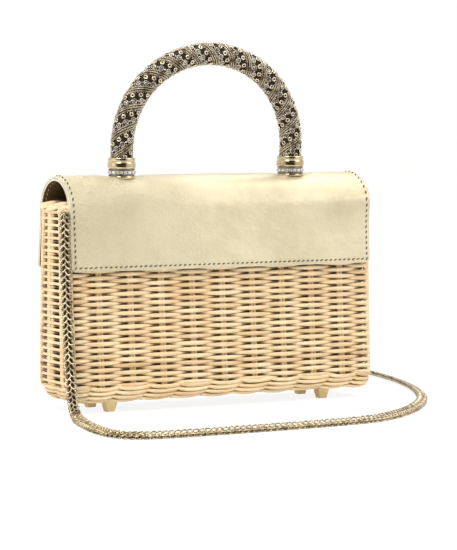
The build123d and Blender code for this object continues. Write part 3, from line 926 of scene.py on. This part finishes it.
def border_strands():
    """Foot border: at every stake group, bowed strands that start on top and end under the next ones."""
    pieces = Pieces()
    steps = np.linspace(0, 1, 22)
    bow = BORDER_LEFT_RISE * np.clip(1 - steps / 0.45, 0, 1) ** 2
    bow = bow + BORDER_RIGHT_RISE * np.clip((steps - 0.45) / 0.55, 0, 1) ** 1.6
    proud = 0.0010 * (1 - steps) - 0.0020 * steps**3
    taper = 0.35 + 0.65 * np.minimum(1, np.minimum(steps, 1 - steps) / 0.16) ** 0.7
    for level, (z, half_height, inset) in enumerate(BORDER_LEVELS):
        outline = rounded_outline(z, inset, 0.0005, BORDER_CORNER)
        marks = outline[3]
        length = marks[-1]
        middles = [group[0] for group in stake_marks(marks) if group[2] in ("pair", "side", "post")]
        lean = BORDER_LEAN * (level - 1)
        for index, middle in enumerate(middles):
            before = middles[index - 1] - (length if index == 0 else 0)
            after = middles[(index + 1) % len(middles)] + (length if index == len(middles) - 1 else 0)
            start = (before + middle) / 2 - 0.0030 - lean
            stop = (middle + after) / 2 + 0.0040 - lean
            # The tone falls over each strand's last fifth, painted shade where it runs under the next ones.
            laid_strand(
                pieces,
                outline,
                (start + (stop - start) * steps) % length,
                proud,
                z + bow - 0.0006 + 0.0004 * (random.random() - 0.5),
                BORDER_HALF_DEPTH * taper,
                half_height * taper,
                10,
                strand_tone() - 0.25 * np.clip((steps - 0.8) / 0.2, 0, 1),
            )
    border = pieces.build("foot_border_strands", cane)
    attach(border, "basket")
    return border


def rolled_strands(name, low, high, inset_out, inset_in, strands, twist_pitch, radius, tone):
    """A twisted roll of strands between two heights, all the way round."""
    pieces = Pieces()
    middle_z = (low + high) / 2
    half_tall = (high - low) / 2 - radius * 0.8
    inset = (inset_out + inset_in) / 2
    half_deep = (inset_in - inset_out) / 2 - radius * 0.8
    place, normal, distance, marks = rounded_outline(middle_z, inset, 0.0016)
    turns = round(marks[-1] / twist_pitch)
    for strand in range(strands):
        phase = 2 * math.pi * (distance / marks[-1] * turns + strand / strands)
        line = place + normal * (half_deep * np.cos(phase))[:, None]
        line[:, 2] += half_tall * np.sin(phase)
        line[:, 2] += drift(strand * 0.9, distance, marks[-1], 3, 0.0002)
        vertices, faces = round_tube(line, radius, 12, True)
        pieces.add(vertices, faces, tone + 0.1 * (random.random() - 0.5))
    roll = pieces.build(name, cane)
    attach(roll, "basket")
    return roll


def rim_strands():
    """Rim: thick canes, each rising over the next one's start."""
    pieces = Pieces()
    low = rim_low.z - 0.0022
    outline = rounded_outline(rim_low.z, 0.0018, 0.0005)
    length = outline[3][-1]
    count = round(length / RIM_STRAND_PITCH)
    steps = np.linspace(0, 1, 20)
    from_end = np.minimum(steps, 1 - steps)
    proud = 0.0015 * np.sin(math.pi * steps) - 0.0026 * steps**2
    taper = 0.45 + 0.55 * np.minimum(1, from_end / 0.25) ** 0.7
    # Each strand darkens towards both ends, painted shade in the joins between neighbouring strands.
    shade = 0.92 - 0.55 * np.clip(1 - from_end / 0.14, 0, 1)
    for index in range(count):
        laid_strand(
            pieces,
            outline,
            (index * length / count + RIM_STRAND_LENGTH * steps) % length,
            proud,
            low + RIM_STRAND_RISE * steps**0.8 + 0.0004 * random.random(),
            RIM_STRAND_HALF_DEPTH * taper,
            RIM_STRAND_HALF_HEIGHT * taper,
            12,
            shade,
        )
    strands = pieces.build("rim_strands", cane)
    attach(strands, "basket")


def basket_floor():
    """Woven floor: rods from end to end, and weavers across them."""
    pieces = Pieces()
    z = FLOOR_LOW_Z + FLOOR_AXIS_RISE
    half_x = HALF_WIDTH - 0.0125
    half_y = half_depth(z) - 0.0060
    rod_step = (2 * half_y - 0.004) / (FLOOR_RODS - 1)
    rod_places = [(-half_y + 0.002) + k * rod_step for k in range(FLOOR_RODS)]
    for y in rod_places:
        line = [(x, y, z) for x in np.linspace(-half_x, half_x, 12)]
        vertices, faces = round_tube(line, FLOOR_ROD_RADIUS, 6)
        pieces.add(vertices, faces, strand_tone())
    weavers = round(2 * half_x / FLOOR_WEAVER_PITCH)
    for k in range(weavers):
        x = -half_x + (k + 0.5) * 2 * half_x / weavers
        y = np.linspace(-half_y, half_y, 49)
        wave = np.cos((y - rod_places[0]) / (rod_places[1] - rod_places[0]) * math.pi) * (1 if k % 2 else -1)
        line = np.stack([np.full_like(y, x), y, z + FLOOR_WAVE * wave], axis=1)
        vertices, faces = round_tube(line, FLOOR_WEAVER_RADIUS, 6, hint=(1.0, 0.0, 0.0))
        pieces.add(vertices, faces, strand_tone())
    floor = pieces.build("floor_weave", cane)
    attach(floor, "basket")
    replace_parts(floor, "woven_floor")


weave_walls()
foot_heights = (border_low.z + 0.001, border_high.z - 0.001)
# The foot roll's low tone, below any strand's own, is painted shade for the gaps behind the border strands.
rolled_strands("foot_roll", *foot_heights, 0.0050, 0.0094, 5, 0.060, 0.0021, 0.12)
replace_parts(border_strands(), "foot_border")
rim_heights = (rim_low.z - 0.0010, rim_high.z - 0.0006)
# The rim roll's low tone is painted shade too, for the gaps behind the rim strands.
rim_roll = rolled_strands("rim_roll", *rim_heights, 0.0024, 0.0073, 3, 0.055, 0.0022, 0.12)
rim_strands()
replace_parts(rim_roll, "rim_border")
basket_floor()


# Leather saddle


def saddle_curve(count):
    """Places (y, z), outward normals and distances of the flap's inner face, front edge to back edge."""
    tangent_y = ARCH_INNER_RADIUS * math.cos(DRAFT)
    tangent_z = ARCH_CENTRE_Z + ARCH_INNER_RADIUS * math.sin(DRAFT)
    panel = (tangent_z - PANEL_LOW_Z) / math.cos(DRAFT)
    arch = ARCH_INNER_RADIUS * (math.pi - 2 * DRAFT)
    total = 2 * panel + arch
    distance = np.linspace(0, total, count)
    places = np.zeros((count, 2))
    normals = np.zeros((count, 2))
    for index, d in enumerate(distance):
        if panel <= d <= panel + arch:
            angle = math.pi - DRAFT - (d - panel) / ARCH_INNER_RADIUS
            normals[index] = (math.cos(angle), math.sin(angle))
            places[index] = (0, ARCH_CENTRE_Z)
            places[index] += ARCH_INNER_RADIUS * normals[index]
        else:
            side = -1 if d < panel else 1
            below = panel - d if d < panel else d - panel - arch
            normals[index] = (side * math.cos(DRAFT), math.sin(DRAFT))
            y = side * (tangent_y + below * math.sin(DRAFT))
            places[index] = (y, tangent_z - below * math.cos(DRAFT))
    return places, normals, distance, total


def leather_wave(x, y, z, scale, seed):
    """Smooth noise from -1 to 1."""
    return noise.noise(Vector((x * scale + seed, y * scale - seed, z * scale + 2 * seed)))


def back_flare(side, z):
    """How far the back panel stands off at height z, towards its lower edge."""
    if side < 0 or z > FLARE_TOP_Z:
        return 0.0
    return BACK_FLARE * ((FLARE_TOP_Z - z) / (FLARE_TOP_Z - PANEL_LOW_Z)) ** 1.5


def settled(x, y, z, ny, nz):
    """A point of the leather as it has settled: back panel flared, arch fuller at its right end."""
    swell = 0.0
    if x > 0 and ny < 0:
        near = math.exp(-(((z - SWELL_Z) / SWELL_REACH) ** 2))
        swell = RIGHT_SWELL * (x / FLAP_HALF_WIDTH) ** 2 * near * -ny
    return (x, y + ny * swell + back_flare(ny, z), z + nz * swell)


def saddle_surface(x, row, curve, depth):
    """A point of the saddle at x and a row of the curve, at a depth from 0 inside to 1 outside."""
    places, normals = curve[:2]
    y, z = places[row]
    ny, nz = normals[row]
    out = depth * LEATHER_THICKNESS
    if depth > 0.6:
        out += 0.00030 * leather_wave(x, y, z, 34.0, 3.1) + 0.00014 * leather_wave(x, y, z, 95.0, 8.4)
        near = min(math.hypot(x - LEG_X, y), math.hypot(x + LEG_X, y))
        if near < FERRULE_REACH and nz > 0.3:
            share = 1 - near / FERRULE_REACH
            out -= FERRULE_DIP * share * share * (3 - 2 * share)
    return settled(x, y + ny * out, z + nz * out, ny, nz)


def panel_half_width(distance, total):
    """Half the saddle's width at a distance along its curve, with rounded corners at both ends."""
    end = min(distance, total - distance)
    if end >= PANEL_CORNER:
        return FLAP_HALF_WIDTH
    return FLAP_HALF_WIDTH - PANEL_CORNER + math.sqrt(PANEL_CORNER**2 - (PANEL_CORNER - end) ** 2)


def make_saddle():
    """Outer leather, painted edge and inner leather, as three skins of one folded sheet."""
    rows = 150
    columns = 190
    curve = saddle_curve(rows)
    distance, total = curve[2:]
    half_widths = [panel_half_width(d, total) for d in distance]
    across = np.linspace(-1, 1, columns)
    outer = Pieces()
    vertices = []
    for row in range(rows):
        for share in across:
            x = share * half_widths[row]
            rim = min(half_widths[row] - abs(x), distance[row], total - distance[row])
            turned = 0.10 * max(0.0, 1 - rim / EDGE_SOFT) ** 2
            vertices.append(saddle_surface(x, row, curve, 1.0 - turned))
    outer.add(vertices, grid_faces(rows, columns))
    skins = [("saddle_outer", outer, leather)]
    inner = Pieces()
    coarse = np.linspace(-1, 1, 60)
    vertices = [saddle_surface(s * half_widths[row], row, curve, 0.0) for row in range(rows) for s in coarse]
    inner.add(vertices, grid_faces(rows, len(coarse)))
    skins.append(("saddle_inner", inner, dark_leather))
    bands = [
        ("edge_outer", 0.90, 0.66, 0.0, leather_edge),
        ("edge_paint", 0.66, 0.30, 0.00015, edge_paint),
        ("edge_inner", 0.30, 0.0, 0.0, leather_edge),
    ]
    for name, high, low, proud, material in bands:
        band = Pieces()
        for side in (-1, 1):
            vertices = []
            for row in range(rows):
                for depth, bulge in ((high, 0.0), ((high + low) / 2, proud + 0.0001), (low, 0.0)):
                    vertices.append(saddle_surface(side * (half_widths[row] + bulge), row, curve, depth))
            band.add(vertices, grid_faces(rows, 3))
        for row in (0, rows - 1):
            vertices = []
            for share in across:
                for depth in (high, (high + low) / 2, low):
                    vertices.append(saddle_surface(share * half_widths[row], row, curve, depth))
            band.add(vertices, grid_faces(columns, 3))
        skins.append((name, band, material))
    return [pieces.build(name, material) for name, pieces, material in skins], curve


def stitch_runs(curve):
    """Places along the saddle's four edges, as (x, curve distance, direction along x)."""
    total = curve[3]
    low = STITCH_INSET
    runs = []
    count = round((total - 2 * low) / STITCH_PITCH)
    for side in (-1, 1):
        for k in range(count + 1):
            runs.append((side * (FLAP_HALF_WIDTH - low), low + k * (total - 2 * low) / count, False))
    count = round(2 * (FLAP_HALF_WIDTH - low) / STITCH_PITCH)
    for end in (low, total - low):
        for k in range(1, count):
            runs.append((-FLAP_HALF_WIDTH + low + k * 2 * (FLAP_HALF_WIDTH - low) / count, end, True))
    return runs


def saddle_stitches(curve, depth, name, material, radius):
    """Short slanted stitches along the edges, on the outside or the inside."""
    places, normals, distance = curve[:3]
    rows = np.arange(len(distance))
    pieces = Pieces()
    for x, d, along_x in stitch_runs(curve):
        line = []
        for shift in (-1.0, -0.6, 0.0, 0.6, 1.0):
            dx = (STITCH_REACH if along_x else STITCH_SLANT) * shift
            dd = (STITCH_SLANT if along_x else STITCH_REACH) * shift
            row = float(np.interp(d + dd, distance, rows))
            y, z = (np.interp(row, rows, places[:, k]) for k in (0, 1))
            ny, nz = (np.interp(row, rows, normals[:, k]) for k in (0, 1))
            out = depth * LEATHER_THICKNESS + (0.00018 - 0.00045 * shift**2) * (1 if depth > 0.5 else -1)
            line.append(settled(x + dx, y + ny * out, z + nz * out, ny, nz))
        vertices, faces = round_tube(line, radius, 6, hint=(0.3, 0.9, 0.5))
        pieces.add(vertices, faces, random.random())
    return pieces.build(name, material)


def dress_saddle():
    """Leather, edges and stitches, all bent at the fold."""
    skins, curve = make_saddle()
    skins.append(saddle_stitches(curve, 1.0, "stitches_outer", thread, 0.00052))
    skins.append(saddle_stitches(curve, 0.0, "stitches_inner", pale_thread, 0.00036))
    for piece in skins:
        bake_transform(piece)
    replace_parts(skins[0], "flap_outer_leather", "back_outer_leather", "flap_board", "back_board")
    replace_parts(skins[1], "flap_inner_leather", "back_inner_leather")


dress_saddle()


# Handle


def handle_line():
    """The handle's axis between the ferrules: places, outer normals and distances."""
    offset = LEG_X - SIDE_RADIUS
    top_radius = (offset**2 + HANDLE_RISE**2 - SIDE_RADIUS**2) / (2 * (HANDLE_RISE - SIDE_RADIUS))
    top_centre = SPRING_Z + HANDLE_RISE - top_radius
    meet = math.atan2(SPRING_Z - top_centre, offset)
    places = []
    normals = []
    for z in np.linspace(WRAP_START_Z - 0.001, SPRING_Z, 20)[:-1]:
        places.append((-LEG_X, 0, z))
        normals.append((-1, 0, 0))
    for angle in np.linspace(math.pi, math.pi - meet, 120)[:-1]:
        normal = (math.cos(angle), 0, math.sin(angle))
        places.append((-offset + SIDE_RADIUS * normal[0], 0, SPRING_Z + SIDE_RADIUS * normal[2]))
        normals.append(normal)
    for angle in np.linspace(math.pi - meet, math.pi / 2, 120):
        normal = (math.cos(angle), 0, math.sin(angle))
        places.append((top_radius * normal[0], 0, top_centre + top_radius * normal[2]))
        normals.append(normal)
    half = len(places)
    for index in range(half - 2, -1, -1):
        x, y, z = places[index]
        places.append((-x, y, z))
        nx, ny, nz = normals[index]
        normals.append((-nx, ny, nz))
    places = np.array(places, float)
    places[:, 1] -= HANDLE_LEAN * (places[:, 2] - WRAP_START_Z)
    normals = np.array(normals, float)
    distance = np.concatenate([[0], np.cumsum(np.linalg.norm(np.diff(places, axis=0), axis=1))])
    return places, normals, distance


class Wound:
    """Places on helices round the handle's axis."""

    def __init__(self):
        self.places, self.normals, self.distance = handle_line()
        self.length = self.distance[-1]
        self.front = np.array([0.0, -1.0, 0.0])

    def sampled(self, values, distance):
        """Places or normals at distances along the axis."""
        return np.stack([np.interp(distance, self.distance, values[:, k]) for k in range(3)], axis=-1)

    def at(self, distance, phase, radius):
        """Place and outward direction at distances and phases (0 on the arch's outer side)."""
        centre = self.sampled(self.places, distance)
        outer = unit(self.sampled(self.normals, distance))
        direction = np.cos(phase)[..., None] * outer + np.sin(phase)[..., None] * self.front
        return centre + np.asarray(radius)[..., None] * direction, direction


def helix_phase(distance, start, offset):
    """Phase at distances along the handle, for one start of the winding and an offset from it."""
    shift = start * WRAP_LEAD / WRAP_STARTS + offset
    return 2 * math.pi * (distance - shift) / WRAP_LEAD


def wound_strands(wound):
    """Bands of three twisted strands, each of two plies."""
    pieces = Pieces()
    axial_step = 0.00033
    for start in range(WRAP_STARTS):
        for strand in (-1, 0, 1):
            distance = np.arange(0, wound.length, axial_step)
            phase = helix_phase(distance, start, strand * STRAND_STEP)
            run = distance * math.hypot(2 * math.pi * STRAND_HELIX_RADIUS, WRAP_LEAD) / WRAP_LEAD
            high = 0.00025 if strand == 0 else 0.0
            line, outward = wound.at(distance, phase, np.full_like(distance, STRAND_HELIX_RADIUS + high))
            along = unit(np.gradient(line, axis=0))
            across = np.cross(along, outward)
            twist = 2 * math.pi * run / STRAND_PLY_PITCH
            for ply in (0, math.pi):
                offset = np.cos(twist + ply)[:, None] * outward + np.sin(twist + ply)[:, None] * across
                core = line + STRAND_PLY_RADIUS * 0.92 * offset
                vertices, faces = tube(core, outward, across, STRAND_PLY_RADIUS, STRAND_PLY_RADIUS, 5)
                pieces.add(vertices, faces, random.random())
    return pieces.build("wrap_strands", old_brass)


def torus(place, outward, along, ring_radius, wire_radius, around, sides):
    """A small ring that lies flat against the handle."""
    across = np.cross(outward, along)
    turn = np.linspace(0, 2 * math.pi, around, endpoint=False)
    line = place + ring_radius * (np.cos(turn)[:, None] * along + np.sin(turn)[:, None] * across)
    return round_tube(line, wire_radius, sides, True, outward)


def stone_mesh(place, outward, along, radius, height):
    """A faceted stone: girdle of eight, crown of eight and a table."""
    across = np.cross(outward, along)
    turn = np.linspace(0, 2 * math.pi, 8, endpoint=False)
    rings = []
    for share, lift, shift in ((1.0, 0.0, 0.0), (0.62, 0.75, math.pi / 8)):
        side = np.cos(turn + shift)[:, None] * along + np.sin(turn + shift)[:, None] * across
        rings.append(place + radius * share * side + outward * height * lift)
    vertices = np.concatenate(rings + [[place + outward * height]])
    faces = []
    for k in range(8):
        n = (k + 1) % 8
        faces.append((k, n, 8 + k))
        faces.append((n, 8 + n, 8 + k))
        faces.append((8 + k, 8 + n, 16))
    return vertices, faces


def ball(centre, radius):
    """A small round grain."""
    turn = np.linspace(0, 2 * math.pi, 6, endpoint=False)
    vertices = [(0, 0, 1)]
    for height in (0.5, -0.5):
        reach = math.sqrt(1 - height**2)
        vertices += [(reach * math.cos(t), reach * math.sin(t), height) for t in turn]
    vertices.append((0, 0, -1))
    faces = []
    for k in range(6):
        n = (k + 1) % 6
        faces += [(0, 1 + k, 1 + n), (1 + k, 7 + k, 7 + n, 1 + n), (13, 7 + n, 7 + k)]
    return centre + radius * np.array(vertices, float), faces


def wound_beads(wound):
    """Rows of gold rings and of silver cups with a stone, between the strand bands."""
    grains = Pieces()
    rings = Pieces()
    cups = Pieces()
    stones = Pieces()
    turn_length = math.hypot(2 * math.pi * STRAND_HELIX_RADIUS, WRAP_LEAD)
    axial = BEAD_STEP * WRAP_LEAD / turn_length
    for start in range(WRAP_STARTS):
        for offset, kind in ((CUP_OFFSET, "cup"), (RING_OFFSET, "ring")):
            for distance in np.arange(0.0015, wound.length - 0.0015, axial):
                distance = np.array([distance, distance + 1e-5])
                phase = helix_phase(distance, start, offset)
                radius = 0.0077 if kind == "ring" else 0.0075
                line, outward = wound.at(distance, phase, np.full(2, radius))
                out = outward[0]
                along = unit(line[1] - line[0])
                along = unit(along - out * np.dot(along, out))
                if kind == "ring":
                    vertices, faces = torus(line[0], out, along, 0.00118, 0.00054, 14, 6)
                    rings.add(vertices, faces, random.random())
                else:
                    vertices, faces = torus(line[0], out, along, 0.00158, 0.00044, 14, 6)
                    cups.add(vertices, faces, random.random())
                    vertices, faces = stone_mesh(line[0], out, along, 0.00112, 0.0008)
                    stones.add(vertices, faces)
                    half_turn = math.pi * axial / WRAP_LEAD
                    between = wound.at(distance + axial / 2, phase + half_turn, np.full(2, 0.0074))[0]
                    vertices, faces = torus(between[0], out, along, 0.00035, 0.00045, 6, 5)
                    rings.add(vertices, faces, random.random())
    for start in range(WRAP_STARTS):
        for offset in GRAIN_OFFSETS:
            distance = np.arange(0.0012, wound.length - 0.0012, GRAIN_STEP * WRAP_LEAD / turn_length)
            phase = helix_phase(distance, start, offset)
            for centre in wound.at(distance, phase, np.full_like(distance, GRAIN_HELIX_RADIUS))[0]:
                vertices, faces = ball(centre, GRAIN_RADIUS)
                grains.add(vertices, faces, random.random())
    return [
        grains.build("wrap_grains", old_brass),
        rings.build("wrap_rings", bead_gold),
        cups.build("wrap_cups", silver),
        stones.build("wrap_stones", dark_stone, smooth=False),
    ]


def ferrule_shells():
    """Turned gold collars: a foot below the crystals, a broad band and a top ring above them."""
    pieces = Pieces()
    turn = np.linspace(0, 2 * math.pi, FERRULE_SIDES, endpoint=False)
    for name in ("ferrule_left", "ferrule_right"):
        low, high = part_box(name)
        middle = (low.x + high.x) / 2
        bands_low = high.z - FERRULE_BANDS[-1][1] / 1000
        for outline, start in ((FERRULE_FOOT, low.z), (FERRULE_BANDS, bands_low)):
            rings = [
                np.stack(
                    [
                        middle + radius / 1000 * np.cos(turn),
                        radius / 1000 * np.sin(turn),
                        np.full(FERRULE_SIDES, start + height / 1000),
                    ],
                    axis=1,
                )
                for radius, height in outline
            ]
            pieces.add(np.concatenate(rings), grid_faces(len(outline), FERRULE_SIDES, False, True))
    shells = pieces.build("ferrule_shells", gold)
    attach(shells, "flap")
    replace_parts(shells, "ferrule_left", "ferrule_right")


def wound_tube(wound, radius, name, material):
    """A plain tube along the handle."""
    pieces = Pieces()
    distance = np.linspace(0, wound.length, 180)
    line = wound.sampled(wound.places, distance)
    outer = unit(wound.sampled(wound.normals, distance))
    side = np.tile([0.0, 1.0, 0.0], (len(line), 1))
    vertices, faces = tube(line, outer, side, radius, radius, 32)
    pieces.add(vertices, faces)
    return pieces.build(name, material)


def dress_handle():
    """The whole winding, on the flap."""
    wound = Wound()
    core = wound_tube(wound, CORE_RADIUS, "core_rod", steel)
    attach(core, "flap")
    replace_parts(core, "handle_core")
    sleeve = wound_tube(wound, SLEEVE_RADIUS, "wrap_sleeve", sleeve_dark)
    for piece in [sleeve, wound_strands(wound), *wound_beads(wound)]:
        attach(piece, "flap")
    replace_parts(sleeve, "handle_wrap")
    ferrule_shells()


dress_handle()
